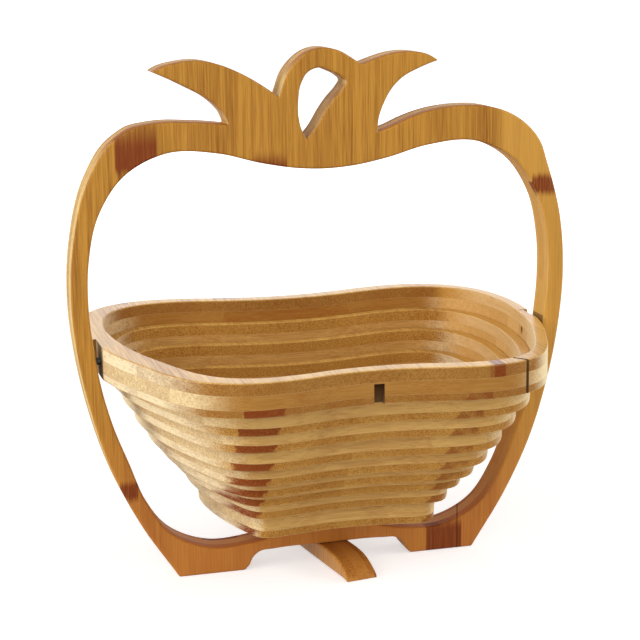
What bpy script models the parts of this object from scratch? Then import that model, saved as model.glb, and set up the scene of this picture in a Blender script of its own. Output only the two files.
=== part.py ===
"""Collapsible apple-shaped fruit basket sawn from one bamboo board, opened out and standing.

The board's outer part is the apple-shaped frame. Inside it a rim ring lies flat on two side
pins, and under the ring hang the turns of the sawn strip, each wedged in the one above it,
with a solid plate at the bottom. A foot swings out from under the bar on one screw.
Metres, height up, the front toward minus Y, the floor at height zero.
"""

import math

import bmesh
import bpy
import numpy as np
from mathutils import Matrix

# The board that everything is sawn from
BOARD = 0.018

# Apple frame, seen from the front
OPENING_HALF_WIDTH = 0.1306
OPENING_HALF_HEIGHT = 0.1006
LEG_WIDTH = 0.0095
BAR_THICKNESS = 0.0114
CROWN_THICKNESS = 0.0313
CREST_HALF_WIDTH = 0.0928
CREST_HEIGHT = 0.0335
CUT_OUT_HALF_WIDTH = 0.0488
CUT_OUT_HEIGHT = 0.0111

# Rim ring and its pins
RIM_KERF = 0.0017
RING_WIDTH = 0.0100
PIVOT_ABOVE_MIDDLE = 0.0011
PIN_DIAMETER = 0.0040
PIN_DEPTH = 0.0050
PIN_RECESS = 0.0010
RELIEF_DEPTH = 0.0016
RELIEF_HALF_LENGTH = 0.0140
SLIT_WIDTH = 0.0020
SLIT_ANGLE = math.radians(-51.5)
NOTCH_WIDTH = 0.0055
NOTCH_DEPTH = 0.0045
NOTCH_ASIDE = 0.0010

# Turns of the sawn strip and the base plate
STRIP_WIDTH = 0.0061
STRIP_KERF = 0.00115
WEDGE_GAP = 0.0003
SPIRAL_SHIFT = 0.0032
SHIFT_BACK = 0.0003
BASE_CLEARANCE = 0.0072

# Foot and its screw
FOOT_KERF = 0.0026
FOOT_TOP_GAP = 0.0005
FOOT_LIFT = 0.0002
FOOT_TURN = math.radians(8.9)
SCREW_X = 0.0025
SCREW_DIAMETER = 0.0030
SCREW_TIP = 0.0030
SCREW_POINT = 0.0010
HEAD_DIAMETER = 0.0070
HEAD_HEIGHT = 0.0022
HEAD_RECESS = 0.0008

FIT_GAP = 0.0003
OVERRUN = 0.0020
MERGE_GAP = 0.00001

# Right half of the opening from bottom to top, as shares of its half width and half height
OPENING_SHARES = (
    (0, -1), (.150, -1.013), (.325, -1.065), (.518, -1.072), (.687, -.968), (.792, -.769),
    (.857, -.549), (.916, -.340), (.959, -.125), (.985, .093), (1, .322), (.992, .563),
    (.947, .803), (.838, 1.006), (.662, 1.116), (.449, 1.104), (.266, 1.043), (.124, 1.010),
    (0, 1))

# Outer sides of the frame, as shares of its half width and of the apple's height
SIDE_SHARES = (
    (.614, 0), (.759, .125), (.866, .249), (.936, .374), (.981, .499), (1, .624),
    (.983, .748), (.921, .873))
RIGHT_SHOULDER_SHARES = (
    (.893, .916), (.832, .956), (.757, .982), (.666, .997), (.567, 1), (.469, .996),
    (.393, .987), (.333, .976), (.273, .962), (.212, .950))
LEFT_SHOULDER_SHARES = (
    (.832, .948), (.794, .964), (.757, .976), (.681, .985), (.605, .988), (.530, .986),
    (.454, .983), (.378, .978))

# Leaves and stem, as shares of the crest's half width and of its height above the apple
LEFT_LEAF_UNDER_SHARES = ((-.600, .015), (-.685, .245), (-.800, .424), (-.914, .582),
                          (-1, .687))
LEFT_LEAF_TOP_SHARES = ((-.959, .752), (-.857, .824), (-.742, .848), (-.628, .788),
                        (-.514, .663), (-.400, .490), (-.286, .266), (-.274, .236))
STEM_SHARES = ((-.258, .361), (-.228, .582), (-.171, .788), (-.092, .946), (0, 1),
               (.092, .946), (.171, .821), (.228, .719))
RIGHT_LEAF_TOP_SHARES = ((.320, .806), (.422, .881), (.537, .899), (.628, .854),
                         (.691, .752))
RIGHT_LEAF_UNDER_SHARES = ((.571, .624), (.480, .499), (.405, .299), (.360, .078),
                           (.331, -.143))
STEM_HOLE_SHARES = (
    (-.109, -.445), (-.057, -.272), (0, -.018), (.057, .188), (.109, .346), (.131, .457),
    (.102, .537), (.045, .615), (-.034, .684), (-.097, .615), (-.137, .442),
    (-.155, .173), (-.154, -.081), (-.137, -.287), (-.109, -.445))

# Right half of the cut-out under the bar, and of the foot, from the end to the middle
CUT_OUT_SHARES = ((1, 0), (.945, .243), (.902, .622), (.826, .892), (.652, .973), (0, 1))
FOOT_SHARES = ((1, 0), (.983, .168), (.943, .374), (.845, .645), (.69, .89), (.5, .99),
               (.25, 1), (0, 1))

# How far each turn, and last the base, hangs below the one before, as shares of the basket's
# whole drop
DROP_SHARES = (.152, .129, .140, .123, .099, .088, .111, .158)

# Fineness of the curves
SPAN_CUTS = 4
CREST_CUTS = 3
ANGLE_COUNT = 240
LOOP_COUNT = 120
INSET_STEPS = 150
ROUNDING_SHARE = 0.3
ROUND_CUTS = 24

# Heights and widths that follow from the sizes above
BAR_TOP = CUT_OUT_HEIGHT + BAR_THICKNESS
OPENING_MIDDLE = BAR_TOP + OPENING_HALF_HEIGHT
PIVOT_HEIGHT = OPENING_MIDDLE + PIVOT_ABOVE_MIDDLE
APPLE_HEIGHT = OPENING_MIDDLE + OPENING_HALF_HEIGHT + CROWN_THICKNESS
FRAME_HALF_WIDTH = OPENING_HALF_WIDTH + LEG_WIDTH
BASKET_DROP = PIVOT_HEIGHT - BOARD / 2 - BAR_TOP - BASE_CLEARANCE
TURN_COUNT = len(DROP_SHARES) - 1
TAPER_SHARE = (STRIP_KERF - WEDGE_GAP) / (max(DROP_SHARES) * BASKET_DROP)
TAPER_RUN = TAPER_SHARE * BOARD
STRIP_PITCH = STRIP_WIDTH + STRIP_KERF
RING_INNER_INSET = RIM_KERF + RING_WIDTH
BASE_INSET = RING_INNER_INSET + STRIP_KERF + TURN_COUNT * STRIP_PITCH
DEEPEST_INSET = BASE_INSET + TAPER_RUN + TAPER_RUN
FOOT_HALF_LENGTH = CUT_OUT_HALF_WIDTH - FOOT_KERF
FOOT_HEIGHT = CUT_OUT_HEIGHT - FOOT_TOP_GAP - FOOT_LIFT
NOTCH_HEIGHT = BOARD / 2 + SCREW_DIAMETER / 2 + FIT_GAP


def clear_scene():
    """Empties the file of whatever it starts with."""
    for thing in list(bpy.data.objects):
        bpy.data.objects.remove(thing, do_unlink=True)


def new_collection(name):
    """Adds a named collection to the scene."""
    group = bpy.data.collections.new(name)
    bpy.context.scene.collection.children.link(group)
    return group


def new_material(name, colour, roughness, metallic):
    """One plain material for one part."""
    material = bpy.data.materials.new(name)
    material.use_nodes = True
    shader = material.node_tree.nodes["Principled BSDF"]
    shader.inputs["Base Color"].default_value = (*colour, 1)
    shader.inputs["Roughness"].default_value = roughness
    shader.inputs["Metallic"].default_value = metallic
    return material


def add_object(name, form, group, place):
    """Turns a finished bmesh into an object that stands at the given place."""
    bmesh.ops.recalc_face_normals(form, faces=form.faces)
    mesh = bpy.data.meshes.new(name)
    form.to_mesh(mesh)
    form.free()
    thing = bpy.data.objects.new(name, mesh)
    thing.location = place
    group.objects.link(thing)
    return thing


def add_cutter(name, form, group, place=(0, 0, 0)):
    """Like a part, but hidden from renders and drawn as wire."""
    cutter = add_object(name, form, group, place)
    cutter.hide_render = True
    cutter.display_type = "WIRE"
    return cutter


def cut(part, cutter):
    """Takes the cutter's form out of the part."""
    step = part.modifiers.new(cutter.name, "BOOLEAN")
    step.operation = "DIFFERENCE"
    step.solver = "EXACT"
    step.object = cutter


def smooth(points, cuts, closed=False):
    """Points along a smooth curve through the given ones, without an open curve's last point."""
    path = np.array(points, dtype=float)
    if closed:
        path = np.vstack((path[-2:], path, path[:3]))
    chord = np.linalg.norm(np.diff(path, axis=0), axis=1)
    along = np.concatenate(((0,), np.cumsum(chord)))
    slope = np.gradient(path, along, axis=0)
    rise = chord[:, None, None]
    u = np.linspace(0, 1, cuts, endpoint=False)[None, :, None]
    curve = (path[:-1, None] * (2 * u ** 3 - 3 * u ** 2 + 1)
             + slope[:-1, None] * rise * (u ** 3 - 2 * u ** 2 + u)
             + path[1:, None] * (3 * u ** 2 - 2 * u ** 3)
             + slope[1:, None] * rise * (u ** 3 - u ** 2))
    curve = curve.reshape(-1, 2)
    if closed:
        return curve[2 * cuts:-2 * cuts]
    return curve


def sized(shares, width, height, base=0, side=1):
    """Points of a share table at a width and height, above a base, on one side."""
    return [(side * width * x, base + height * z) for x, z in shares]


def box_form(low, high):
    """A box between two corners."""
    form = bmesh.new()
    size = [b - a for a, b in zip(low, high)]
    middle = [(a + b) / 2 for a, b in zip(low, high)]
    place = Matrix.Translation(middle) @ Matrix.Diagonal((*size, 1))
    bmesh.ops.create_cube(form, size=1, matrix=place)
    return form


def rod_form(diameter, start, end, turn):
    """A round rod along the height, from start to end, then turned."""
    form = bmesh.new()
    place = turn @ Matrix.Translation((0, 0, (start + end) / 2))
    bmesh.ops.create_cone(form, cap_ends=True, segments=ROUND_CUTS, radius1=diameter / 2,
                          radius2=diameter / 2, depth=end - start, matrix=place)
    return form


def loft_form(loops, ring):
    """Skin between unlike outlines of equally many points, closed round or capped at both ends."""
    form = bmesh.new()
    rows = [[form.verts.new(point) for point in loop] for loop in loops]
    pairs = list(zip(rows[:-1], rows[1:]))
    if ring:
        pairs.append((rows[-1], rows[0]))
    else:
        form.faces.new(rows[0])
        form.faces.new(rows[-1])
    for lower, upper in pairs:
        for i in range(len(lower)):
            form.faces.new((lower[i - 1], lower[i], upper[i], upper[i - 1]))
    return form


def turned_form(profile):
    """A turned piece: the profile starts and ends on the upright axis it is spun about."""
    form = bmesh.new()
    verts = [form.verts.new((radius, 0, height)) for radius, height in profile]
    edges = [form.edges.new(pair) for pair in zip(verts[:-1], verts[1:])]
    bmesh.ops.spin(form, geom=verts + edges, cent=(0, 0, 0), axis=(0, 0, 1),
                   angle=2 * math.pi, steps=ROUND_CUTS, use_merge=True)
    bmesh.ops.remove_doubles(form, verts=form.verts, dist=MERGE_GAP)
    return form


def plate_form(outlines):
    """A board standing upright, filled inside its first outline and outside the others."""
    curve = bpy.data.curves.new("plate", "CURVE")
    curve.dimensions = "2D"
    curve.fill_mode = "BOTH"
    curve.extrude = BOARD / 2
    for outline in outlines:
        spline = curve.splines.new("POLY")
        spline.points.add(len(outline) - 1)
        spline.points.foreach_set("co", np.pad(outline, ((0, 0), (0, 2))).ravel())
        spline.use_cyclic_u = True
    holder = bpy.data.objects.new("plate", curve)
    bpy.context.scene.collection.objects.link(holder)
    graph = bpy.context.evaluated_depsgraph_get()
    mesh = bpy.data.meshes.new_from_object(holder.evaluated_get(graph))
    form = bmesh.new()
    form.from_mesh(mesh)
    bmesh.ops.remove_doubles(form, verts=form.verts, dist=MERGE_GAP)
    form.transform(holder.matrix_world @ Matrix.Rotation(math.radians(90), 4, "X"))
    bpy.data.objects.remove(holder, do_unlink=True)
    return form


def inset_family(outline):
    """Radii of the opening about its middle and of all its insets, one row per small step."""
    radius = np.hypot(outline[:, 0], outline[:, 1])
    angle = np.arctan2(outline[:, 1], outline[:, 0])
    order = np.argsort(angle)
    row = np.interp(ANGLES, angle[order], radius[order], period=2 * math.pi)
    rows = [row]
    step = DEEPEST_INSET / INSET_STEPS
    for _ in range(INSET_STEPS):
        slope = (np.roll(row, -1) - np.roll(row, 1)) / (2 * ANGLES[1])
        row = row - step * np.sqrt(1 + (slope / row) ** 2)
        row = row + ROUNDING_SHARE * ((np.roll(row, 1) + np.roll(row, -1)) / 2 - row)
        rows.append(row)
    return np.array(rows), step


def inset_radii(inset):
    """Radii of the opening's outline moved inward by a distance."""
    place = inset / INSET_STEP
    index = min(int(place), INSET_STEPS - 1)
    share = place - index
    return (1 - share) * FAMILY[index] + share * FAMILY[index + 1]


def radius_at(inset, angle):
    """Radius of one inset outline in one direction."""
    return float(np.interp(angle, ANGLES, inset_radii(inset), period=2 * math.pi))


def flat_loop(inset, shift, height):
    """An inset outline laid flat about the pivot: the apple's bottom points to the front."""
    radii = inset_radii(inset)[::ANGLE_COUNT // LOOP_COUNT]
    angles = ANGLES[::ANGLE_COUNT // LOOP_COUNT]
    return np.stack((shift + radii * np.cos(angles),
                     radii * np.sin(angles) - PIVOT_ABOVE_MIDDLE,
                     np.full(len(radii), height)), axis=1)


clear_scene()
parts = new_collection("Fruit basket")
cutters = new_collection("Cutters")

# Outlines that the frame and the basket share
right_half = sized(OPENING_SHARES, OPENING_HALF_WIDTH, OPENING_HALF_HEIGHT)
left_half = [(-x, z) for x, z in right_half[-2:0:-1]]
opening = smooth(right_half + left_half, SPAN_CUTS, closed=True)
ANGLES = np.linspace(0, 2 * math.pi, ANGLE_COUNT, endpoint=False)
FAMILY, INSET_STEP = inset_family(opening)
PIVOT_SIDE_ANGLE = math.atan2(PIVOT_ABOVE_MIDDLE, OPENING_HALF_WIDTH)
OPENING_X = radius_at(0, PIVOT_SIDE_ANGLE)
RING_X = radius_at(RIM_KERF, PIVOT_SIDE_ANGLE)
RING_BORE_X = radius_at(RING_INNER_INSET + TAPER_RUN / 2, PIVOT_SIDE_ANGLE)

# Frame: legs, bar, shoulders, leaves and stem in one piece of board
sides = sized(SIDE_SHARES, FRAME_HALF_WIDTH, APPLE_HEIGHT)
right_side = sides + sized(RIGHT_SHOULDER_SHARES, FRAME_HALF_WIDTH, APPLE_HEIGHT)
left_side = sides + sized(LEFT_SHOULDER_SHARES, FRAME_HALF_WIDTH, APPLE_HEIGHT)
left_side = [(-x, z) for x, z in left_side]
crest = [sized(shares, CREST_HALF_WIDTH, CREST_HEIGHT, APPLE_HEIGHT) for shares in (
    RIGHT_LEAF_UNDER_SHARES, RIGHT_LEAF_TOP_SHARES, STEM_SHARES, LEFT_LEAF_TOP_SHARES,
    LEFT_LEAF_UNDER_SHARES)]
right_under, right_top, stem, left_top, left_under = crest
cut_out = sized(CUT_OUT_SHARES, CUT_OUT_HALF_WIDTH, CUT_OUT_HEIGHT)
cut_out_left = [(-x, z) for x, z in cut_out[-2::-1]]
stem_start = stem[-1]
leaf_start = left_top[-1]
frame_outline = np.vstack((
    smooth(right_side, SPAN_CUTS),
    smooth([right_side[-1]] + right_under[::-1] + [right_top[-1]], CREST_CUTS),
    smooth(right_top[::-1] + [stem_start], CREST_CUTS),
    smooth(stem[::-1] + [leaf_start], CREST_CUTS),
    smooth(left_top[::-1] + [left_under[-1]], CREST_CUTS),
    smooth(left_under[::-1] + [left_side[-1]], CREST_CUTS),
    smooth(left_side[::-1], SPAN_CUTS),
    [left_side[0]],
    smooth((cut_out + cut_out_left)[::-1], SPAN_CUTS),
    [cut_out[0]]))
stem_hole = smooth(sized(STEM_HOLE_SHARES, CREST_HALF_WIDTH, CREST_HEIGHT, APPLE_HEIGHT),
                   CREST_CUTS)
frame = add_object("frame", plate_form((frame_outline, opening + (0, OPENING_MIDDLE),
                                        stem_hole)), parts, (0, 0, 0))
sideways = Matrix.Rotation(math.radians(90), 4, "Y")
upright = Matrix.Identity(4)
leg_reach = OPENING_X + PIN_DEPTH
cut(frame, add_cutter("cut_leg_holes", rod_form(
    PIN_DIAMETER + 2 * FIT_GAP, -leg_reach, leg_reach, sideways), cutters,
    (0, 0, PIVOT_HEIGHT)))
cut(frame, add_cutter("cut_bar_hole", rod_form(
    SCREW_DIAMETER + 2 * FIT_GAP, 0, BAR_TOP + OVERRUN, upright), cutters, (SCREW_X, 0, 0)))

# Rim ring: upright outside, tapered inside, hung on the two pins
ring = add_object("ring", loft_form((
    flat_loop(RIM_KERF, 0, BOARD / 2),
    flat_loop(RIM_KERF, 0, -BOARD / 2),
    flat_loop(RING_INNER_INSET + TAPER_RUN, SPIRAL_SHIFT, -BOARD / 2),
    flat_loop(RING_INNER_INSET, SPIRAL_SHIFT, BOARD / 2)), True), parts, (0, 0, PIVOT_HEIGHT))
cut(ring, add_cutter("cut_ring_holes", rod_form(
    PIN_DIAMETER + 2 * FIT_GAP, -OPENING_X, OPENING_X, sideways), cutters,
    (0, 0, PIVOT_HEIGHT)))
for name, side in (("left", -1), ("right", 1)):
    faces_x = sorted((side * (RING_X - RELIEF_DEPTH), side * (OPENING_X + OVERRUN)))
    cut(ring, add_cutter("cut_relief_" + name, box_form(
        (faces_x[0], -RELIEF_HALF_LENGTH, -BOARD / 2 - OVERRUN),
        (faces_x[1], RELIEF_HALF_LENGTH, BOARD / 2 + OVERRUN)), cutters,
        (0, 0, PIVOT_HEIGHT)))
slit = box_form((0, -SLIT_WIDTH / 2, -BOARD / 2 - OVERRUN),
                (radius_at(0, SLIT_ANGLE) + OVERRUN, SLIT_WIDTH / 2, BOARD / 2 + OVERRUN))
slit.transform(Matrix.Rotation(SLIT_ANGLE, 4, "Z"))
cut(ring, add_cutter("cut_slit", slit, cutters,
                     (0, -PIVOT_ABOVE_MIDDLE, PIVOT_HEIGHT)))
notch_x = SCREW_X - NOTCH_ASIDE
front_y = -radius_at(RIM_KERF, -math.pi / 2) - PIVOT_ABOVE_MIDDLE
cut(ring, add_cutter("cut_notch", box_form(
    (notch_x - NOTCH_WIDTH / 2, front_y - OVERRUN, -BOARD / 2 - OVERRUN),
    (notch_x + NOTCH_WIDTH / 2, front_y + NOTCH_DEPTH, NOTCH_HEIGHT - BOARD / 2)), cutters,
    (0, 0, PIVOT_HEIGHT)))

# Turns of the strip: each one hangs lower, wedged in the one outside it
for number in range(1, TURN_COUNT + 1):
    inset = RING_INNER_INSET + STRIP_KERF + (number - 1) * STRIP_PITCH
    outer_shift = SPIRAL_SHIFT - (number - 1) * SHIFT_BACK
    inner_shift = outer_shift - SHIFT_BACK
    add_object("turn_%d" % number, loft_form((
        flat_loop(inset, outer_shift, BOARD / 2),
        flat_loop(inset + TAPER_RUN, outer_shift, -BOARD / 2),
        flat_loop(inset + STRIP_WIDTH + TAPER_RUN, inner_shift, -BOARD / 2),
        flat_loop(inset + STRIP_WIDTH, inner_shift, BOARD / 2)), True), parts,
        (0, 0, PIVOT_HEIGHT - sum(DROP_SHARES[:number]) * BASKET_DROP))

# Base plate: the solid middle of the board, wedged in the last turn
base_shift = SPIRAL_SHIFT - TURN_COUNT * SHIFT_BACK
add_object("basket_base", loft_form((
    flat_loop(BASE_INSET, base_shift, BOARD / 2),
    flat_loop(BASE_INSET + TAPER_RUN, base_shift, -BOARD / 2)), False), parts,
    (0, 0, PIVOT_HEIGHT - sum(DROP_SHARES) * BASKET_DROP))

# Pins: pressed through the ring's sides, their ends turning in blind holes in the legs
pin_end = OPENING_X + PIN_DEPTH - FIT_GAP
for name, side in (("left", -1), ("right", 1)):
    pin_start = side * RING_BORE_X + SPIRAL_SHIFT + side * PIN_RECESS
    ends = sorted((pin_start, side * pin_end))
    add_object("pivot_pin_" + name, rod_form(PIN_DIAMETER, ends[0], ends[1], sideways),
               parts, (0, 0, PIVOT_HEIGHT))

# Foot: the offcut from under the bar, swung out on its screw
foot_half = sized(FOOT_SHARES, FOOT_HALF_LENGTH, FOOT_HEIGHT)
foot_left = [(-x, z) for x, z in foot_half[-2::-1]]
foot_outline = np.vstack((smooth(foot_half + foot_left, SPAN_CUTS), [foot_left[-1]]))
foot = add_object("foot", plate_form((foot_outline - (SCREW_X, 0),)), parts,
                  (SCREW_X, 0, FOOT_LIFT))
foot.rotation_euler.z = FOOT_TURN - math.radians(90)
cut(foot, add_cutter("cut_foot_hole", rod_form(
    SCREW_DIAMETER + 2 * FIT_GAP, -OVERRUN, FOOT_HEIGHT + OVERRUN, upright), cutters,
    (SCREW_X, 0, FOOT_LIFT)))
cut(foot, add_cutter("cut_foot_counterbore", rod_form(
    HEAD_DIAMETER + 2 * FIT_GAP, -OVERRUN, HEAD_RECESS + HEAD_HEIGHT + FIT_GAP, upright),
    cutters, (SCREW_X, 0, FOOT_LIFT)))

# Screw: its head in the foot, its tip standing above the bar to catch the folded ring
screw_top = BAR_TOP + SCREW_TIP
head_bottom = FOOT_LIFT + HEAD_RECESS
head_top = head_bottom + HEAD_HEIGHT
add_object("foot_screw", turned_form((
    (0, head_bottom),
    (HEAD_DIAMETER / 2, head_bottom),
    (HEAD_DIAMETER / 2, head_top),
    (SCREW_DIAMETER / 2, head_top),
    (SCREW_DIAMETER / 2, screw_top - SCREW_POINT),
    (SCREW_DIAMETER / 4, screw_top),
    (0, screw_top))), parts, (SCREW_X, 0, 0))

WOOD = (0.55, 0.33, 0.13)
STEEL = (0.62, 0.60, 0.57)
for part in parts.objects:
    steel = part.name.startswith(("pivot_pin", "foot_screw"))
    look = new_material(part.name, STEEL if steel else WOOD, 0.35 if steel else 0.45,
                        1 if steel else 0)
    part.data.materials.clear()
    part.data.materials.append(look)
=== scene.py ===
import math

import bmesh
import bpy
import numpy as np
from mathutils import Matrix, Vector


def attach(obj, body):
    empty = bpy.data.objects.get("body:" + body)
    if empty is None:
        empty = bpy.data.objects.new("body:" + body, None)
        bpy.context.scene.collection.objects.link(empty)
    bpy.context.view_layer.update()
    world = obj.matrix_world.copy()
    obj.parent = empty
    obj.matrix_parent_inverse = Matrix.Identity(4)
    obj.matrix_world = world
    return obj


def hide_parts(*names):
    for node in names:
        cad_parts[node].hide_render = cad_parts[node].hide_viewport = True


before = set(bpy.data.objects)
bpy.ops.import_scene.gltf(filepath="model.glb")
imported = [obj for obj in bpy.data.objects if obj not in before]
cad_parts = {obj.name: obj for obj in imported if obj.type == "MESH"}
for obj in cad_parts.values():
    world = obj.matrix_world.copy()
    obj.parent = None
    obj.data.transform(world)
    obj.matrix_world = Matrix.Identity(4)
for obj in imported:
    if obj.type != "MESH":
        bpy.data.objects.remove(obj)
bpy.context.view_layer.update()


# The place where the basket is photographed: a white sweep with soft lights at both sides,
# in front and behind. The camera stands a little above the basket and a little to the left
# of straight on.
class Value:
    """A socket in a material. Sums and products of such values add the Math nodes for them."""

    def __init__(self, tree, socket=None):
        self.tree = tree
        self.socket = socket

    def node(self, kind, sockets=(), output=0, **settings):
        """Any other node: its settings first, then the values or links of its sockets."""
        made = self.tree.nodes.new("ShaderNode" + kind)
        for name, setting in settings.items():
            setattr(made, name, setting)
        for key, value in dict(sockets).items():
            if isinstance(value, Value):
                self.tree.links.new(value.socket, made.inputs[key])
            else:
                made.inputs[key].default_value = value
        if isinstance(output, tuple):
            return [Value(self.tree, made.outputs[name]) for name in output]
        return Value(self.tree, made.outputs[output])

    def math(self, operation, *others):
        return self.node("Math", enumerate((self, *others)), operation=operation)

    def __add__(self, other):
        return self.math("ADD", other)

    def __mul__(self, other):
        return self.math("MULTIPLY", other)

    def __sub__(self, other):
        return self.math("SUBTRACT", other)

    def __rsub__(self, other):
        return self.math("MULTIPLY", -1) + other

    __radd__ = __add__
    __rmul__ = __mul__

    def rise(self, low, high):
        """0 below low, 1 above high, and a smooth climb between them."""
        return self.node("MapRange", {"Value": self, "From Min": low, "From Max": high},
                         interpolation_type="SMOOTHSTEP")

    def tint(self, first, second):
        """The first colour where this value is 0, the second where it is 1."""
        return self.node("Mix", {0: self, 6: first, 7: second}, output=2, data_type="RGBA")


def paint(red, green, blue):
    """A colour of a paint chart, 0 to 255, as the linear light that it reflects."""
    parts = [((part / 255 + 0.055) / 1.055) ** 2.4 if part > 10 else part / 3300
             for part in (red, green, blue)]
    return (*parts, 1)


def white_sweep(tree, seen, lit):
    """Joins two shaders: the first is what the camera and reflections see, the second lights."""
    start = Value(tree)
    camera, glossy, through = start.node("LightPath", output=(
        "Is Camera Ray", "Is Glossy Ray", "Is Transmission Ray"))
    eye = camera.math("MAXIMUM", glossy).math("MAXIMUM", through)
    return start.node("MixShader", {0: eye, 1: lit, 2: seen})


bpy.context.scene.view_settings.view_transform = "Standard"
world = bpy.data.worlds.new("studio")
bpy.context.scene.world = world
world.use_nodes = True
world.node_tree.nodes.clear()
sky = Value(world.node_tree)
sky_mix = white_sweep(world.node_tree,
                      sky.node("Background", {"Color": (1, 1, 1, 1), "Strength": 1.0}),
                      sky.node("Background", {"Color": (1, 1, 1, 1), "Strength": 0.28}))
sky.node("OutputWorld", {"Surface": sky_mix}, output=())

sweep_material = bpy.data.materials.new("white_sweep")
sweep_material.use_nodes = True
sweep_material.node_tree.nodes.clear()
floor_look = Value(sweep_material.node_tree)
floor_paint = floor_look.node("BsdfDiffuse", {"Color": (0.7, 0.7, 0.7, 1)})
far_off = floor_look.node("VectorMath", {0: floor_look.node("TexCoord", output="Object")},
                          output="Value", operation="LENGTH").rise(0.3, 1.6)
floor_glow = floor_look.node("Emission", {
    "Color": far_off.tint((0.55, 0.55, 0.55, 1), (0.95, 0.95, 0.95, 1)), "Strength": 1.0})
floor_seen = floor_look.node("AddShader", {0: floor_paint, 1: floor_glow})
floor_look.node("OutputMaterial", {"Surface": white_sweep(
    sweep_material.node_tree, floor_seen, floor_paint)}, output=())
sweep_mesh = bpy.data.meshes.new("floor")
sweep_mesh.from_pydata([(-40, -40, 0), (40, -40, 0), (40, 40, 0), (-40, 40, 0)], [],
                       [(0, 1, 2, 3)])
sweep_mesh.materials.append(sweep_material)
floor = bpy.data.objects.new("floor", sweep_mesh)
bpy.context.scene.collection.objects.link(floor)


def softbox(name, place, aim, size, power):
    """A square light at a place, turned to face the point that it is aimed at."""
    lamp = bpy.data.lights.new(name, "AREA")
    lamp.size = size
    lamp.energy = power
    light = bpy.data.objects.new(name, lamp)
    light.location = place
    light.rotation_euler = (Vector(aim) - Vector(place)).to_track_quat("-Z", "Y").to_euler()
    bpy.context.scene.collection.objects.link(light)


softbox("left", (-2.0, -0.5, 0.9), (0, 0, 0.13), 2.1, 40)
softbox("right", (2.0, -0.4, 0.9), (0, 0, 0.13), 2.1, 34)
softbox("front", (-0.7, -2.2, 1.1), (0, 0, 0.13), 1.8, 20)
softbox("back", (0.4, 2.4, 0.95), (0, 0, 0.13), 2.0, 14)

lens = bpy.data.cameras.new("camera")
lens.lens = 98.09
lens.sensor_width = 36
camera = bpy.data.objects.new("camera", lens)
camera.location = (-0.25355, -0.91126, 0.34442)
camera.rotation_euler = [math.radians(turn) for turn in (77.7065, 0.5826, -15.5892)]
bpy.context.scene.collection.objects.link(camera)
bpy.context.scene.camera = camera


# The frame: the outer part of a bamboo board 18 mm thick, glued from three layers of strips
# whose grain crosses in the middle layer. It is sawn out with a fine blade, its edges are
# rounded over and sanded, and a thin lacquer brings out the nodes of the canes.
MM = 0.001
BOARD = 18.0
HALF_WIDTH = 130.6
HALF_HEIGHT = 100.6
LEG = 9.5
CUT_OUT_HALF = 48.8
CUT_OUT_HIGH = 11.1
BAR_TOP = CUT_OUT_HIGH + 11.4
MIDDLE = BAR_TOP + HALF_HEIGHT
PIVOT = MIDDLE + 1.1
APPLE_HIGH = MIDDLE + HALF_HEIGHT + 31.3
CREST_HALF = 92.8
CREST_HIGH = 33.5
FRAME_ROUND_OVER = 1.3
PIN_BORE = 4.6
PIN_REACH = HALF_WIDTH + 2.0
SCREW_X = 2.5
SCREW_BORE = 3.6


def curve_through(points, cuts, closed=False):
    """Each span is a cubic that leaves and reaches its two points along the slopes there,
    and a slope is the change from the point before to the point after, over the way."""
    path = np.array(points, dtype=float)
    if closed:
        path = np.vstack((path[-2:], path, path[:3]))
    chord = np.linalg.norm(np.diff(path, axis=0), axis=1)
    along = np.concatenate(((0,), np.cumsum(chord)))
    slope = np.gradient(path, along, axis=0)
    rise = chord[:, None, None]
    u = np.linspace(0, 1, cuts, endpoint=False)[None, :, None]
    spans = (path[:-1, None] * (2 * u ** 3 - 3 * u ** 2 + 1)
             + slope[:-1, None] * rise * (u ** 3 - 2 * u ** 2 + u)
             + path[1:, None] * (3 * u ** 2 - 2 * u ** 3)
             + slope[1:, None] * rise * (u ** 3 - u ** 2)).reshape(-1, 2)
    return spans[2 * cuts:-2 * cuts] if closed else spans


def even_loop(loop, spacing, ease):
    """The closed loop walked in equal steps, its corners eased by a bell-shaped average."""
    closed = np.vstack((loop, loop[:1]))
    along = np.concatenate(((0,), np.cumsum(np.linalg.norm(np.diff(closed, axis=0), axis=1))))
    count = int(along[-1] / spacing)
    walk = np.linspace(0, along[-1], count, endpoint=False)
    even = np.stack([np.interp(walk, along, closed[:, axis]) for axis in (0, 1)], axis=1)
    reach = np.arange(-8, 9)
    weight = np.exp(-(reach * along[-1] / count / ease) ** 2 / 2)
    return sum(np.roll(even, -shift, axis=0) * part
               for shift, part in zip(reach, weight / weight.sum()))


def form_of(points, faces):
    """A form with these points, and the faces that are given by the points' numbers."""
    mesh = bpy.data.meshes.new("form")
    mesh.from_pydata(points, [], faces)
    form = bmesh.new()
    form.from_mesh(mesh)
    bpy.data.meshes.remove(mesh)
    return form


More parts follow.
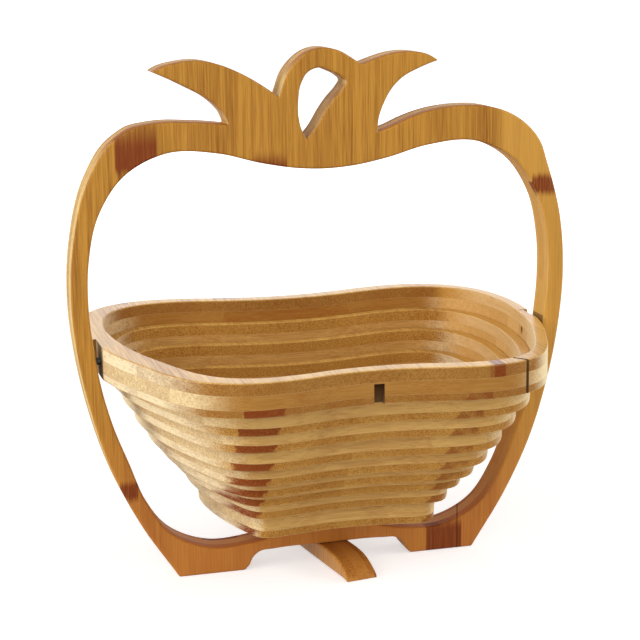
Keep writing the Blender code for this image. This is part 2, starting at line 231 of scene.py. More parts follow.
def plate(name, loops, half, round_over, place):
    """A board standing on edge. Around every loop its skin runs (offset inward, thickness)
    along a quarter circle at each face: offset r (1 - sin a), thickness h - r (1 - cos a),
    with r less where the board is narrow. The first loop runs counter-clockwise and is the
    outside, and the others are holes."""
    every = np.vstack(loops)
    inward = []
    for loop in loops:
        tangent = np.roll(loop, -1, axis=0) - np.roll(loop, 1, axis=0)
        tangent /= np.linalg.norm(tangent, axis=1)[:, None]
        inward.append(np.stack((-tangent[:, 1], tangent[:, 0]), axis=1))
    every_inward = np.vstack(inward)
    batch = 400
    far_off = 99
    points, quads, facts = [], [], []
    for loop, normal in zip(loops, inward):
        count = len(loop)
        room = np.empty(count)
        for start in range(0, count, batch):
            part = slice(start, start + batch)
            away = every[None] - loop[part, None]
            across = (away * normal[part, None]).sum(axis=2)
            facing = (normal[part] @ every_inward.T) < -0.2
            far = np.linalg.norm(away, axis=2)
            room[part] = np.where(facing & (across > 0.3 * far), far, far_off).min(axis=1)
        radius = np.minimum(round_over, 0.30 * room)
        hold = np.minimum(0.5, 0.08 * room)
        for _ in range(6):
            radius = np.minimum(radius, (np.roll(radius, 1) + radius + np.roll(radius, -1)) / 3)
            hold = np.minimum(hold, (np.roll(hold, 1) + hold + np.roll(hold, -1)) / 3)
        rows = [(radius + hold, np.full(count, half), 0.0, 0.0)]
        for bend in np.radians((0, 22.5, 45, 67.5, 90)):
            rows.append((radius * (1 - math.sin(bend)), half - radius * (1 - math.cos(bend)),
                         math.sin(bend) ** 2, 0.5 - 0.5 * math.cos(4 * bend) if bend else 0.0))
        rows.append((np.zeros(count), half - radius - hold, 1.0, 0.0))
        rows += [(offset, -high, wall, worn_and_highlit) for offset, high, wall, worn_and_highlit in rows[::-1]]
        path = np.concatenate(((0,), np.cumsum(
            np.linalg.norm(np.diff(loop, axis=0), axis=1))))
        index = sum(map(len, points)) + np.arange(len(rows) * count).reshape(-1, count)
        before = np.roll(index, 1, axis=1)
        quads.append(np.stack((before[:-1], before[1:], index[1:], index[:-1]),
                              axis=2).reshape(-1, 4))
        for offset, high, wall, worn_and_highlit in rows:
            points.append(np.column_stack((loop + normal * offset[:, None], high)))
            facts.append(np.column_stack((path, np.full(count, wall), np.full(count, worn_and_highlit))))
    form = form_of(np.vstack(points), np.vstack(quads))
    for up in (1, -1):
        rim = [edge for edge in form.edges if edge.is_boundary and edge.verts[0].co.z * up > 0]
        bmesh.ops.triangle_fill(form, edges=rim, use_beauty=True, normal=(0, 0, up))
    form.transform(Matrix.Scale(MM, 4))
    form.transform(place)
    bmesh.ops.recalc_face_normals(form, faces=form.faces)
    return finish_piece(name, form, np.vstack(facts))


def sharpen(piece):
    """Smooth shading, with the edges of more than 38 degrees crisp."""
    piece.data.shade_smooth()
    piece.data.set_sharp_from_angle(angle=math.radians(38))


def finish_piece(name, form, facts=None):
    """Makes the form an object, smooth but for its sharp edges. The facts of each point, the
    way along the saw's path in mm, wall or face, and wear with painted highlight on the rounded
    edges, become the attribute sawn."""
    mesh = bpy.data.meshes.new(name)
    form.to_mesh(mesh)
    form.free()
    if facts is not None:
        sawn = mesh.attributes.new("sawn", "FLOAT_VECTOR", "POINT")
        sawn.data.foreach_set("vector", facts.astype(np.float32).ravel())
    piece = bpy.data.objects.new(name, mesh)
    bpy.context.scene.collection.objects.link(piece)
    sharpen(piece)
    return piece


# Places in the board in mm: across the strips from the middle, and along the canes from the
# pins. A dark patch has its left and right edge, its low and high end, and how far it fades
# out. The dark canes of the bottom layer have their left and right edge and their strength.
STRIP_OF_CANE = 21.45
NODES_APART = 236.0
LOWER_GLUE = -4.8
UPPER_GLUE = 2.5
DARK_PATCHES = (
    (-114.5, -91.6, 101.5, 128.0, 14), (-41, -21, 98.0, 111.5, 10),
    (119.8, 141, 79.5, 93.0, 5), (-118, -107.3, -78.0, -65.0, 5),
    (57.5, 79.8, -130, -104.0, 8), (59.8, 67.0, -112, -92, 2))
DARK_CANES = ((-70.2, -48.3, 1.4), (44.9, 61.8, 0.75))
GLUED_CUT_X = 80
FIBRE_BROWN = paint(156, 94, 30)
DOT_BROWN = paint(104, 54, 10)
BUNDLE_BROWN = paint(100, 50, 8)
STRAW = paint(224, 168, 76)
# Painted light: pale cream for the walls at the front right, as if lit from the right.
RIGHT_FRONT_LIGHT_CREAM = paint(248, 230, 184)
# Painted shade: red-brown for the lower part of a piece near the bar.
LOW_SHADE_RED = paint(198, 116, 54)
NODE_RED = paint(124, 54, 10)
# Dark brown for the glued saw cut, a real joint, and painted shade in gaps and recesses.
JOINT_AND_SHADE_BROWN = paint(66, 28, 8)
# Pale for the rounded edges, partly wear of the sanded edges and partly painted highlight.
RUBBED_AND_HIGHLIT = paint(232, 196, 128)
SAW_RIPPLE = 1.25


def bamboo(name, board, flat, sides, ends, low_shade_share=0.0, glued_cut=0.0, right_front_light_share=0.6):
    """Lacquered three-layer bamboo board. The matrix takes a place on the piece to its place
    in the board before sawing: across the strips, along the canes, through the thickness.
    Its flat faces have a light and a dark colour, and the sides and ends of the canes one
    for the outer layers and one for the core. The lower part is painted redder as shade and
    bounced light near the bar, the glued cut is where the saw came in, and the walls at the
    front right are painted pale as light from the right."""
    material = bpy.data.materials.new(name)
    material.use_nodes = True
    tree = material.node_tree
    shader = tree.nodes["Principled BSDF"]
    start = Value(tree)
    place, normal = start.node("TexCoord", output=("Object", "Normal"))
    turn = board.to_euler()
    spot = start.node("Mapping", {"Vector": place, "Rotation": turn, "Scale": (1000,) * 3,
                                  "Location": board.translation / MM})
    facing = start.node("Mapping", {"Vector": normal, "Rotation": turn}, vector_type="VECTOR")
    x, y, w = start.node("SeparateXYZ", {0: spot}, output=("X", "Y", "Z"))
    face_x, face_y, face_w = start.node("SeparateXYZ", {0: facing}, output=("X", "Y", "Z"))
    wobble = start.node("TexNoise", {"Vector": spot, "Scale": 0.06, "Detail": 1.0})

    # Which layer and strip this is, which way its canes run, and its own lot of chance
    glue = w + 0.3 * wobble - 0.15
    inner = (glue.rise(LOWER_GLUE - 0.1, LOWER_GLUE + 0.1)
             * (1 - glue.rise(UPPER_GLUE - 0.1, UPPER_GLUE + 0.1)))
    along = y + (x - y) * inner
    across = x + (y - x) * inner
    layer = glue.math("GREATER_THAN", LOWER_GLUE) + glue.math("GREATER_THAN", UPPER_GLUE)
    strip = (across * (1 / STRIP_OF_CANE) + 0.265 + inner * 0.4).math("FLOOR")
    lot = start.node("TexWhiteNoise", {"Vector": start.node("CombineXYZ", {
        0: strip, 1: layer, 2: 4.0})}, output="Color", noise_dimensions="3D")
    tone, phase = start.node("SeparateXYZ", {0: lot}, output=("X", "Y"))
    end_grain = ((face_y.math("ABSOLUTE") * (1 - inner) + face_x.math("ABSOLUTE") * inner)
                 .rise(0.25, 0.85))

    # Fibres: one noise drawn out along the canes gives streaks on faces and dots on ends
    def fibre(wide, long, detail, salt):
        where = start.node("CombineXYZ", {
            0: across * (1 / wide) + strip * 7.3, 1: w * (1 / wide) + salt,
            2: along * (1 / long) + layer * 3.1})
        return start.node("TexNoise", {"Vector": where, "Scale": 1.0, "Detail": detail,
                                       "Roughness": 0.6})

    fine = fibre(0.7, 26, 2.0, 1.7)
    streak = fibre(2.4, 90, 2.0, 5.2)
    broad = fibre(9.0, 160, 1.0, 9.1)
    bundle_spot = start.node("CombineXYZ", {0: across * 1.2, 1: w * 1.2, 2: along * 0.022})
    bundle = 1 - start.node("TexVoronoi", {"Vector": bundle_spot, "Scale": 1.0},
                            output="Distance").rise(0.14, 0.48)

    # Nodes of the canes: faint in the core, and on the faces dark red-brown patches that end
    # at the strips' edges and fade out along the canes
    ragged = (streak - 0.5) * 7
    reach = ((along * (1 / NODES_APART) + phase * 5).math("FRACT")
             - 0.5).math("ABSOLUTE") * NODES_APART
    band = (1 - (reach + ragged).rise(2.0, 9.5)) * (1 - layer.rise(1.4, 1.6)) * 0.12
    for left, right, low, high, fade in DARK_PATCHES:
        patch = (x.rise(left, left + 0.8) * (1 - x.rise(right - 0.6, right))
                 * (y + ragged).rise(low - 2, low + 3)
                 * (1 - (y + ragged).rise(high - fade, high)) * layer.rise(1.4, 1.6))
        band = band.math("MAXIMUM", patch)
    for left, right, share in DARK_CANES:
        moved = x + (broad - 0.5) * 16
        dark = (moved.rise(left, left + 2.5) * (1 - moved.rise(right - 2.5, right))
                * (1 - y.rise(-40, -10)) * (1 - layer.rise(0.4, 0.6)))
        band = band.math("MAXIMUM", (dark * share * broad.rise(0.1, 0.6)).math("MINIMUM", 1))

    # Colour: straw to honey by strip and fibre on the faces, paler along the sides of the
    # canes and browner and dotted on their ends, red-brown at the nodes
    depth = ((tone - 0.5) * 0.5 + (streak - 0.5) * 0.9 + (broad - 0.5) * 0.8
             + (fine - 0.5) * 1.5 + 0.42)
    colour = depth.tint(*flat)
    upright = 1 - face_w.math("ABSOLUTE").rise(0.3, 0.8)
    colour = (upright * 0.78).tint(colour, end_grain.tint(inner.tint(*sides),
                                                          inner.tint(*ends)))
    colour = (upright * (tone * 0.34 + (streak - 0.5) * 0.7 + (fine - 0.5) * 0.8)).tint(
        colour, FIBRE_BROWN)
    colour = (end_grain * upright * fine.rise(0.42, 0.64) * (0.36 - inner * 0.2)).tint(
        colour, DOT_BROWN)
    colour = (bundle * (0.10 + end_grain * (0.20 - inner * 0.14))).tint(colour, BUNDLE_BROWN)
    colour = (x.rise(96, 106) * 0.55).tint(colour, STRAW)
    # Painted light: the upright walls at the front right are painted pale cream, as if lit from
    # the right.
    colour = (x.rise(84, 98) * (1 - y.rise(-40, 10)) * upright * right_front_light_share).tint(
        colour, RIGHT_FRONT_LIGHT_CREAM)
    # Painted shade: the lower part, near the bar, is tinted redder in place of shade and light
    # bounced between the parts.
    colour = ((1 - y.rise(-110, -10)) * low_shade_share).tint(colour, LOW_SHADE_RED)
    colour = (band * (0.94 + (fine - 0.5) * 0.9)).tint(colour, NODE_RED)
    cut = 1 - (x + w * 0.37 - GLUED_CUT_X).math("ABSOLUTE").rise(0.1, 0.6)
    # Dark at the glued saw cut, a real joint, and painted shade on the faces in the slit, the
    # notch, the reliefs and by the pins.
    painted_gap_shade = start.node("Attribute", output="Fac", attribute_name="painted_gap_shade")
    joint_and_shade = (cut * (1 - y.rise(-102, -98)) * glued_cut).math("MAXIMUM", painted_gap_shade)
    colour = (joint_and_shade * 0.96).tint(colour, JOINT_AND_SHADE_BROWN)
    way, wall, worn_and_highlit = start.node("SeparateXYZ", {0: start.node(
        "Attribute", output="Vector", attribute_name="sawn")}, output=("X", "Y", "Z"))
    # Rounded edges painted paler: partly wear, partly a painted highlight where the rounding
    # catches light.
    colour = (worn_and_highlit * 0.14).tint(colour, RUBBED_AND_HIGHLIT)
    tree.links.new(colour.socket, shader.inputs["Base Color"])

    # Finish: satin lacquer over fibres that stand a little proud, and faint saw ripples
    rough = 0.34 + (fine - 0.5) * 0.22 + upright * 0.34 + joint_and_shade * 0.2
    tree.links.new(rough.socket, shader.inputs["Roughness"])
    shader.inputs["IOR"].default_value = 1.22
    coat = (0.22 - upright * 0.14) * (1 - joint_and_shade)
    tree.links.new(coat.socket, shader.inputs["Coat Weight"])
    shader.inputs["Coat Roughness"].default_value = 0.28
    shader.inputs["Coat IOR"].default_value = 1.3
    ripple = (way * (2 * math.pi / SAW_RIPPLE)).math("SINE") * wall * wobble.rise(0.48, 0.62)
    height = fine * 0.5 + streak * 0.4 - bundle * 0.25 + ripple * 0.22
    bump = start.node("Bump", {"Height": height, "Strength": 0.35, "Distance": 0.00022})
    tree.links.new(bump.socket, shader.inputs["Normal"])
    return material


def saw_out(piece, cutter_form):
    """Takes the cutter's form out of the piece for good."""
    mesh = bpy.data.meshes.new("cutter")
    cutter_form.to_mesh(mesh)
    cutter_form.free()
    cutter = bpy.data.objects.new("cutter", mesh)
    bpy.context.scene.collection.objects.link(cutter)
    step = piece.modifiers.new("saw", "BOOLEAN")
    step.operation = "DIFFERENCE"
    step.solver = "EXACT"
    step.object = cutter
    graph = bpy.context.evaluated_depsgraph_get()
    cut_mesh = bpy.data.meshes.new_from_object(piece.evaluated_get(graph))
    piece.modifiers.clear()
    piece.data = cut_mesh
    bpy.data.objects.remove(cutter)


def face_middles(piece):
    """The middles of a piece's faces in mm, as rows of x, of y and of z."""
    middles = np.empty(len(piece.data.polygons) * 3)
    piece.data.polygons.foreach_get("center", middles)
    return middles.reshape(-1, 3).T / MM


def darken(piece, shares):
    """How far each face is darkened with painted shade, in gaps and recesses where shade falls,
    from 0 to 1.
    """
    piece.data.attributes.new("painted_gap_shade", "FLOAT", "FACE").data.foreach_set(
        "value", shares.astype(np.float32))


def drill(diameter, start, end, turn=Matrix.Identity(4)):
    """A round cutter along the height from start to end in mm, then turned and placed."""
    form = bmesh.new()
    bmesh.ops.create_cone(form, cap_ends=True, segments=32, radius1=diameter / 2 * MM,
                          radius2=diameter / 2 * MM, depth=(end - start) * MM,
                          matrix=turn @ Matrix.Translation((0, 0, (start + end) / 2 * MM)))
    return form


def scaled(shares, wide, high, base=0.0):
    """A table of shares as points in mm: wide times the first, base plus high times the
    second."""
    return [(wide * x, base + high * z) for x, z in shares]


opening_right = scaled((
    (0, -1), (.150, -1.013), (.325, -1.065), (.518, -1.072), (.687, -.968), (.792, -.769),
    (.857, -.549), (.916, -.340), (.959, -.125), (.985, .093), (1, .322), (.992, .563),
    (.947, .803), (.838, 1.006), (.662, 1.116), (.449, 1.104), (.266, 1.043), (.124, 1.010),
    (0, 1)), HALF_WIDTH, HALF_HEIGHT)
opening = opening_right + [(-x, z) for x, z in opening_right[-2:0:-1]]

side = scaled(((.614, 0), (.759, .125), (.866, .249), (.936, .374), (.981, .499), (1, .624),
               (.983, .748), (.921, .873)), HALF_WIDTH + LEG, APPLE_HIGH)
right_side = side + scaled((
    (.893, .916), (.832, .956), (.757, .982), (.666, .997), (.567, 1), (.469, .996),
    (.393, .987), (.333, .976), (.273, .962), (.212, .950)), HALF_WIDTH + LEG, APPLE_HIGH)
left_side = [(-x, z) for x, z in side + scaled((
    (.832, .948), (.794, .964), (.757, .976), (.681, .985), (.605, .988), (.530, .986),
    (.454, .983), (.378, .978)), HALF_WIDTH + LEG, APPLE_HIGH)]
leaf_right_under, leaf_right_top, stem, leaf_left_top, leaf_left_under, stem_hole = [
    scaled(shares, CREST_HALF, CREST_HIGH, APPLE_HIGH) for shares in (
        ((.331, -.143), (.360, .078), (.405, .299), (.480, .499), (.571, .624), (.691, .752)),
        ((.691, .752), (.628, .854), (.537, .899), (.422, .881), (.320, .806), (.228, .719)),
        ((.228, .719), (.171, .821), (.092, .946), (0, 1), (-.092, .946), (-.171, .788),
         (-.228, .582), (-.258, .361), (-.274, .236)),
        ((-.274, .236), (-.286, .266), (-.400, .490), (-.514, .663), (-.628, .788),
         (-.742, .848), (-.857, .824), (-.959, .752), (-1, .687)),
        ((-1, .687), (-.914, .582), (-.800, .424), (-.685, .245), (-.600, .015)),
        ((-.109, -.445), (-.057, -.272), (0, -.018), (.057, .188), (.109, .346),
         (.131, .457), (.102, .537), (.045, .615), (-.034, .684), (-.097, .615),
         (-.137, .442), (-.155, .173), (-.154, -.081), (-.137, -.287), (-.109, -.445)))]
cut_out = scaled(((1, 0), (.945, .243), (.902, .622), (.826, .892), (.652, .973), (0, 1)),
                 CUT_OUT_HALF, CUT_OUT_HIGH)
cut_out = [(-x, z) for x, z in cut_out] + cut_out[-2::-1]
apple = np.vstack((
    curve_through(right_side, 24),
    curve_through([right_side[-1]] + leaf_right_under, 16),
    curve_through(leaf_right_top, 16),
    curve_through(stem, 16),
    curve_through(leaf_left_top, 16),
    curve_through(leaf_left_under + [left_side[-1]], 16),
    curve_through(left_side[::-1], 24),
    [left_side[0]],
    curve_through(cut_out, 16),
    [cut_out[-1]]))
standing = Matrix.Rotation(math.radians(90), 4, "X")
sideways = Matrix.Translation((0, 0, PIVOT * MM)) @ Matrix.Rotation(math.radians(90), 4, "Y")
rough_cut = 0.5
apple_frame = plate("apple_frame", (
    even_loop(apple, rough_cut, 0.55),
    even_loop(curve_through(opening, 24, closed=True)[::-1] + (0, MIDDLE), rough_cut, 0.55),
    even_loop(curve_through(stem_hole, 16)[::-1], rough_cut, 0.55)),
    BOARD / 2, FRAME_ROUND_OVER, standing)
saw_out(apple_frame, drill(PIN_BORE, -PIN_REACH, PIN_REACH, sideways))
saw_out(apple_frame, drill(SCREW_BORE, 8, BAR_TOP + 2, Matrix.Translation((SCREW_X * MM, 0, 0))))
sharpen(apple_frame)
middle_x, middle_y, middle_z = face_middles(apple_frame)
# Painted shade: the legs' inner walls by the pins, seen through the gap beside the ring, are
# darkened, more on the left.
by_pins = ((np.abs(middle_z - PIVOT) < 9.2) & (np.abs(middle_x) < 130.9)
           & (np.abs(middle_y) < 7.0))
darken(apple_frame, by_pins * np.where(middle_x < 0, 1, 0.6))
frame_board = Matrix.Translation((0, -PIVOT * MM, 0)) @ Matrix.Rotation(
    math.radians(-90), 4, "X")
FRAME_FLAT = (paint(196, 140, 54), paint(130, 74, 16))
FRAME_SIDES = (paint(238, 208, 140), paint(214, 170, 98))
FRAME_ENDS = (paint(168, 98, 30), paint(222, 184, 114))
apple_frame.data.materials.append(bamboo("bamboo_frame", frame_board, FRAME_FLAT,
                                         FRAME_SIDES, FRAME_ENDS, low_shade_share=0.55,
                                         glued_cut=0.8, right_front_light_share=0.0))
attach(apple_frame, "root")
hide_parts("frame")


# The foot: the piece sawn out from under the bar, swung out on one screw so that the basket
# stands on three points. It is the same board, and its ends are sanded to a thin round edge.
FOOT_HALF = CUT_OUT_HALF - 2.6
FOOT_HIGH = CUT_OUT_HIGH - 0.7
FOOT_LIFT = 0.2
FOOT_TURN = 8.9
FOOT_ROUND_OVER = 1.6
HEAD_BORE = 7.6
foot_top = scaled(((1, 0), (.983, .168), (.943, .374), (.845, .645), (.69, .89), (.5, .99),
                   (.25, 1), (0, 1)), FOOT_HALF, FOOT_HIGH)
foot_top += [(-x, z) for x, z in foot_top[-2::-1]]
foot_outline = np.vstack((curve_through(foot_top, 16), [foot_top[-1]])) - (SCREW_X, 0)
foot_place = (Matrix.Translation((SCREW_X * MM, 0, FOOT_LIFT * MM))
              @ Matrix.Rotation(math.radians(FOOT_TURN - 90), 4, "Z") @ standing)
foot = plate("foot", (even_loop(foot_outline, rough_cut, 0.5),), BOARD / 2, FOOT_ROUND_OVER,
             foot_place)
under_foot = Matrix.Translation((SCREW_X * MM, 0, 0))
saw_out(foot, drill(SCREW_BORE, -2, 14, under_foot))
saw_out(foot, drill(HEAD_BORE, -2, 3.5, under_foot))
unfold = Matrix.Translation((SCREW_X * MM, 0, 0)) @ Matrix.Rotation(
    math.radians(90 - FOOT_TURN), 4, "Z") @ Matrix.Translation((-SCREW_X * MM, 0, 0))
FOOT_FLAT = (paint(206, 146, 68), paint(150, 92, 30))
FOOT_SIDES = (paint(190, 128, 58), paint(178, 116, 48))
FOOT_ENDS = (paint(176, 110, 42), paint(186, 122, 52))
foot.data.materials.append(bamboo("bamboo_foot", frame_board @ unfold, FOOT_FLAT, FOOT_SIDES,
                                  FOOT_ENDS, right_front_light_share=0.0))
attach(foot, "foot_body")
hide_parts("foot")


# The rim ring: the next piece in from the frame, laid flat on its two side pins. A saw slit
# at the front right is where the blade went in, and a notch at the front middle, open below,
# takes the tip of the foot's screw when the basket is folded flat.
RIM_KERF = 1.7
RING_WIDE = 10.0
STRIP = 6.1
STRIP_KERF = 1.15
TURNS = 7
SHIFT = 3.2
SHIFT_BACK = 0.3
SLIT_ANGLE = math.radians(-51.5)
SLIT_HALF = 1.0
NOTCH_X = SCREW_X - 1
NOTCH_HALF = 2.75
NOTCH_DEEP = 4.5
NOTCH_HIGH = 10.8
RELIEF_DEEP = 1.6
RELIEF_HALF = 14.0
CLEAR = BOARD / 2 + 3
DROPS = (PIVOT - BOARD / 2 - BAR_TOP - 7.2) * np.array(
    (0.152, 0.129, 0.140, 0.123, 0.099, 0.088, 0.111, 0.158))
TAPER = (STRIP_KERF - 0.3) / DROPS.max()
RUN = TAPER * BOARD
RING_INNER = RIM_KERF + RING_WIDE
BASE_INSET = RING_INNER + STRIP_KERF + TURNS * (STRIP + STRIP_KERF)
STEPS = 150
DEEPEST = BASE_INSET + 2 * RUN
ANGLES = np.linspace(0, 2 * math.pi, 240, endpoint=False)


def shrink_all():
    """Radii of the opening in every direction, then of each of its insets: each step takes
    away step times the square root of 1 + (slope / radius) squared, and eases the corners."""
    loop = curve_through(opening, 4, closed=True)
    radius = np.hypot(loop[:, 0], loop[:, 1])
    angle = np.arctan2(loop[:, 1], loop[:, 0])
    order = np.argsort(angle)
    row = np.interp(ANGLES, angle[order], radius[order], period=2 * math.pi)
    rows = [row]
    for _ in range(STEPS):
        slope = (np.roll(row, -1) - np.roll(row, 1)) / (2 * ANGLES[1])
        row = row - DEEPEST / STEPS * np.sqrt(1 + (slope / row) ** 2)
        row = row + 0.3 * ((np.roll(row, 1) + np.roll(row, -1)) / 2 - row)
        rows.append(row)
    return np.array(rows)


INSETS = shrink_all()


def radii_at(inset):
    """Radii of the outline moved inward by each inset, blended between the nearest steps."""
    place = np.clip(np.asarray(inset) / DEEPEST * STEPS, 0, STEPS - 0.001)
    index = place.astype(int)
    share = (place - index)[..., None]
    return (1 - share) * INSETS[index] + share * INSETS[index + 1]


def rounded(corners, radius, hold=0.35):
    """A cross-section's points (inset, height): at each corner a curve from one edge to the
    next, (1 - t)^2 first + 2 t (1 - t) corner + t^2 last, with a point close by either side.
    The third column is the wear, 1 in the middle of the curve."""
    corners = np.array(corners, dtype=float)
    before = np.roll(corners, 1, axis=0) - corners
    after = np.roll(corners, -1, axis=0) - corners
    before /= np.linalg.norm(before, axis=1)[:, None]
    after /= np.linalg.norm(after, axis=1)[:, None]
    t = np.linspace(0, 1, 6)[None, :, None]
    curve = ((1 - t) ** 2 * (corners + radius * before)[:, None]
             + 2 * t * (1 - t) * corners[:, None]
             + t ** 2 * (corners + radius * after)[:, None])
    near = (corners + (radius + hold) * before)[:, None]
    last = (corners + (radius + hold) * after)[:, None]
    points = np.concatenate((near, curve, last), axis=1)
    wear = np.array((0, 0, 0.6, 1, 1, 0.6, 0, 0))[None, :, None].repeat(len(corners), axis=0)
    return np.concatenate((points, wear), axis=2).reshape(-1, 3)


def band(section, shifts, level):
    """A cross-section carried round the board's middle: x = shift + r cos(angle),
    y = r sin(angle), with r the outline's radius at the point's inset, z = level + height."""
    radii = radii_at(section[:, 0])
    return np.stack((np.asarray(shifts)[:, None] + radii * np.cos(ANGLES),
                     radii * np.sin(ANGLES) - (PIVOT - MIDDLE),
                     np.repeat((level + section[:, 1])[:, None], len(ANGLES), axis=1)), axis=2)


def skin(points, closed):
    """A form over the rows of points; closed joins the last row to the first, and an open
    one ends in a fan at the middle of its first and last row."""
    rows, columns = points.shape[:2]
    index = np.arange(rows * columns).reshape(rows, columns)
    if closed:
        index = np.vstack((index, index[:1]))
    before = np.roll(index, 1, axis=1)
    faces = np.stack((before[:-1], index[:-1], index[1:], before[1:]),
                     axis=2).reshape(-1, 4).tolist()
    spots = points.reshape(-1, 3)
    if not closed:
        for end in (0, -1):
            faces += np.column_stack((before[end], index[end],
                                      np.full(columns, len(spots)))).tolist()
            spots = np.vstack((spots, points[end].mean(axis=0)))
    form = form_of(spots * MM, faces)
    bmesh.ops.recalc_face_normals(form, faces=form.faces)
    return form


def mark_sawn(piece, level):
    """Sets the attribute sawn on a flat-lying piece: the way round at the point's angle,
    wall where the skin is upright, and edge wear with painted highlight near the four corners of
    the section."""
    mesh = piece.data
    count = len(mesh.vertices)
    spot = np.empty(count * 3)
    mesh.vertices.foreach_get("co", spot)
    spot = spot.reshape(-1, 3) / MM
    slope = np.empty(count * 3)
    mesh.vertex_normals.foreach_get("vector", slope)
    upright = 1 - np.abs(slope.reshape(-1, 3)[:, 2])
    radius = np.hypot(spot[:, 0] - SHIFT, spot[:, 1])
    angle = np.arctan2(spot[:, 1], spot[:, 0] - SHIFT)
    worn_and_highlit = ((np.abs(np.abs(spot[:, 2] - level) - BOARD / 2) < 0.75)
            * 4 * upright * (1 - upright))
    facts = np.column_stack((angle * 90 + radius * 0.2, upright, worn_and_highlit))
    sawn = mesh.attributes.new("sawn", "FLOAT_VECTOR", "POINT")
    sawn.data.foreach_set("vector", facts.astype(np.float32).ravel())


def block(low, high):
    """A square cutter between two corners in mm."""
    form = bmesh.new()
    size = [(b - a) * MM for a, b in zip(low, high)]
    middle = [(a + b) / 2 * MM for a, b in zip(low, high)]
    bmesh.ops.create_cube(form, size=1, matrix=Matrix.Translation(middle)
                          @ Matrix.Diagonal((*size, 1)))
    return form


def radius_to(inset, angle):
    """The inset outline's radius in one direction."""
    return float(np.interp(angle, ANGLES, radii_at(inset), period=2 * math.pi))


ring_section = rounded(((RIM_KERF, 9), (RIM_KERF, -9), (RING_INNER + RUN, -9),
                        (RING_INNER, 9)), 0.9)
ring_shifts = SHIFT * np.clip((ring_section[:, 0] - RIM_KERF) / RING_WIDE, 0, 1)
ring = finish_piece("rim_ring", skin(band(ring_section, ring_shifts, PIVOT), True))
half_side = math.atan2(PIVOT - MIDDLE, HALF_WIDTH)
OPENING_X = radius_to(0, half_side)
ring_face = radius_to(RIM_KERF, half_side) - RELIEF_DEEP
saw_out(ring, drill(PIN_BORE, -OPENING_X, OPENING_X, sideways))
for near, far in ((-OPENING_X - 2, -ring_face), (ring_face, OPENING_X + 2)):
    saw_out(ring, block((near, -RELIEF_HALF, PIVOT - CLEAR), (far, RELIEF_HALF, PIVOT + CLEAR)))
slit = block((0, -SLIT_HALF, -CLEAR), (radius_to(0, SLIT_ANGLE) + 2, SLIT_HALF, CLEAR))
slit.transform(Matrix.Translation((0, (MIDDLE - PIVOT) * MM, PIVOT * MM))
               @ Matrix.Rotation(SLIT_ANGLE, 4, "Z"))
saw_out(ring, slit)
front = MIDDLE - PIVOT - radius_to(RIM_KERF, -math.pi / 2)
notch_top = PIVOT - BOARD / 2 + NOTCH_HIGH
saw_out(ring, block((NOTCH_X - NOTCH_HALF, front - 2, PIVOT - CLEAR),
                    (NOTCH_X + NOTCH_HALF, front + NOTCH_DEEP, notch_top)))
sharpen(ring)
mark_sawn(ring, PIVOT)
middle_x, middle_y, middle_z = face_middles(ring)
off_slit = ((middle_y - (MIDDLE - PIVOT)) * math.cos(SLIT_ANGLE)
            - middle_x * math.sin(SLIT_ANGLE))
in_slit = (np.abs(off_slit) < SLIT_HALF + 0.02) & (middle_x > 0)
in_notch = ((np.abs(middle_x - NOTCH_X) < NOTCH_HALF + 0.05) & (middle_z < notch_top + 0.1)
            & (np.abs(middle_y - front - NOTCH_DEEP / 2 - 0.05) < NOTCH_DEEP / 2))
in_relief = ((np.abs(middle_x) > ring_face - 0.05)
             & (np.abs(middle_y) < RELIEF_HALF - 0.1))
# Painted shade: faces in the slit and the notch are darkened fully, and the reliefs by the pins
# by 0.45.
darken(ring, np.maximum(np.maximum(in_slit, in_notch), in_relief * 0.45))
flat_board = Matrix.Translation((0, 0, -PIVOT * MM))
BASKET_FLAT = (paint(226, 178, 92), paint(164, 104, 32))
BASKET_SIDES = (paint(246, 232, 194), paint(206, 166, 100))
BASKET_ENDS = (paint(184, 134, 60), paint(236, 214, 166))
ring.data.materials.append(bamboo(
    "bamboo_ring", flat_board, BASKET_FLAT, (BASKET_SIDES[0], paint(154, 102, 42)),
    (paint(148, 98, 40), BASKET_ENDS[1])))
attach(ring, "ring")
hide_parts("ring")


# The turns: one long strip sawn in a spiral with a leaning blade, so that each turn drops
# until it wedges in the one outside it. Here each turn is a closed band that slides on its
# own. Its top edge stays square and only lightly sanded, as in the photograph.
for number in range(1, TURNS + 1):
    inset = RING_INNER + STRIP_KERF + (number - 1) * (STRIP + STRIP_KERF)
    level = PIVOT - DROPS[:number].sum()
    section = rounded(((inset, 9), (inset + RUN, -9), (inset + STRIP + RUN, -9),
                       (inset + STRIP, 9)), 0.6)
    across = (section[:, 0] - inset - RUN * (9 - section[:, 1]) / BOARD) / STRIP
    turn_shifts = SHIFT - SHIFT_BACK * (number - 1 + across)
    turn = finish_piece("strip_turn_%d" % number, skin(
        band(section, turn_shifts, level), True))
    mark_sawn(turn, level)
    turn.data.materials.append(bamboo(
        "bamboo_turn_%d" % number, Matrix.Translation((0, 0, -level * MM)),
        BASKET_FLAT, BASKET_SIDES, BASKET_ENDS))
    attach(turn, "turn_%d_body" % number)
    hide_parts("turn_%d" % number)


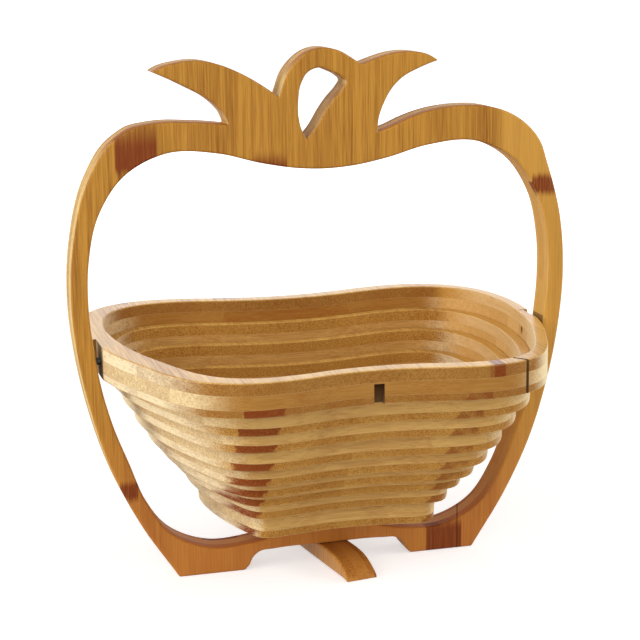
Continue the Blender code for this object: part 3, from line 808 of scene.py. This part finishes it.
# The base plate: the middle of the board, left whole. It drops last and is what the fruit
# lies on, just clear of the bar.
base_level = PIVOT - DROPS.sum()
base_edge = np.array([(BASE_INSET + 3, 9, 0), (BASE_INSET + 0.95, 9, 0),
                      (BASE_INSET + 0.6, 9, 0), (BASE_INSET + 0.25, 8.87, 0),
                      (BASE_INSET + 0.06, 8.6, 0), (BASE_INSET + 0.03, 8.2, 0),
                      (BASE_INSET + RUN - 0.03, -8.2, 0), (BASE_INSET + RUN + 0.02, -8.6, 0),
                      (BASE_INSET + RUN + 0.25, -8.87, 0), (BASE_INSET + RUN + 0.6, -9, 0),
                      (BASE_INSET + RUN + 0.95, -9, 0)])
base = finish_piece("basket_base_plate", skin(
    band(base_edge, np.full(len(base_edge), SHIFT - SHIFT_BACK * TURNS), base_level), False))
mark_sawn(base, base_level)
base.data.materials.append(bamboo("bamboo_base", Matrix.Translation((0, 0, -base_level * MM)),
                                  BASKET_FLAT, BASKET_SIDES, BASKET_ENDS))
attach(base, "base_body")
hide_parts("basket_base")


# Pins and screw: two plain pins of wire that the ring turns on, painted near black as shade
# in the gaps where they sit, and the foot's round-headed steel wood screw, whose thread shows
# where its tip stands above the bar.
PIN_RADIUS = 2.0
PIN_END = 1.5
PIN_IN_LEG = 4.7
SCREW_TIP = 3.0
SHANK = 1.5
THREAD_DEPTH = 0.32
THREAD_PITCH = 1.3


def turned(name, profile, columns, place, thread=0.0, pitch=1.0, low=0.0, high=0.0):
    """A profile (radius, height) spun round its axis, with a thread between two heights:
    radius + thread times |2 f - 1|, f the fraction of height / pitch - angle / 2 pi."""
    profile = np.array(profile, dtype=float)
    angle = np.linspace(0, 2 * math.pi, columns, endpoint=False)
    height = profile[:, 1][:, None]
    saw = np.abs(2 * ((height / pitch - angle / (2 * math.pi)) % 1) - 1)
    inside = (height > low) & (height < high)
    radius = profile[:, 0][:, None] - thread * inside * (1 - saw)
    points = np.stack((radius * np.cos(angle), radius * np.sin(angle),
                       height + 0 * angle), axis=2)
    form = skin(points, False)
    form.transform(place)
    return finish_piece(name, form)


def metal(name, colour, roughness):
    """Drawn or turned wire and steel, with fine tool marks and a dull sheen."""
    material = bpy.data.materials.new(name)
    material.use_nodes = True
    tree = material.node_tree
    shader = tree.nodes["Principled BSDF"]
    start = Value(tree)
    place = start.node("TexCoord", output="Object")
    marks = start.node("TexNoise", {"Vector": place, "Scale": 900.0, "Detail": 3.0})
    shade = marks.rise(0.3, 0.7).tint([part * 0.75 for part in colour[:3]] + [1], colour)
    tree.links.new(shade.socket, shader.inputs["Base Color"])
    tree.links.new((marks * 0.2 + roughness).socket, shader.inputs["Roughness"])
    bump = start.node("Bump", {"Height": marks, "Strength": 0.2, "Distance": 0.0001})
    tree.links.new(bump.socket, shader.inputs["Normal"])
    shader.inputs["Metallic"].default_value = 1.0
    return material


steel = metal("steel", (0.56, 0.54, 0.50, 1), 0.28)
# The pins' near-black colour is painted shade for the dark gaps by the pins.
wire = metal("pin_wire_painted_shade_dark", (0.09, 0.08, 0.07, 1), 0.45)
ring_bore = radius_to(RING_INNER + RUN / 2, half_side)
for name, side_sign in (("left", -1), ("right", 1)):
    start_x = side_sign * ring_bore + SHIFT + side_sign
    end_x = side_sign * (OPENING_X + PIN_IN_LEG)
    low, high = sorted((start_x, end_x))
    pin = turned("hinge_pin_" + name, (
        (PIN_END, low), (1.8, low + 0.02), (PIN_RADIUS, low + 0.3), (PIN_RADIUS, low + 0.7),
        (PIN_RADIUS, high - 0.7), (PIN_RADIUS, high - 0.3), (1.8, high - 0.02),
        (PIN_END, high)), 40, sideways)
    pin.data.materials.append(wire)
    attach(pin, "ring")
    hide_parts("pivot_pin_" + name)

tip = BAR_TOP + SCREW_TIP
shank = [(SHANK, height) for height in np.arange(3.7, tip - 1.2, 0.11)]
screw = turned("foot_screw_steel", (
    [(2.9, 1.0), (3.3, 1.12), (3.5, 1.5), (3.5, 2.6), (3.42, 3.0), (3.2, 3.19), (1.55, 3.2)]
    + shank + [(1.2, tip - 0.7), (0.75, tip)]), 48, under_foot,
    thread=THREAD_DEPTH, pitch=THREAD_PITCH, low=9.0, high=tip - 1.0)
cross = Matrix.Translation((SCREW_X * MM, 0, 0))
for angle in (0, 90):
    bar = block((-2.0, -0.35, 0.4), (2.0, 0.35, 2.4))
    bar.transform(cross @ Matrix.Rotation(math.radians(angle), 4, "Z"))
    saw_out(screw, bar)
sharpen(screw)
screw.data.materials.append(steel)
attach(screw, "root")
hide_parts("foot_screw")
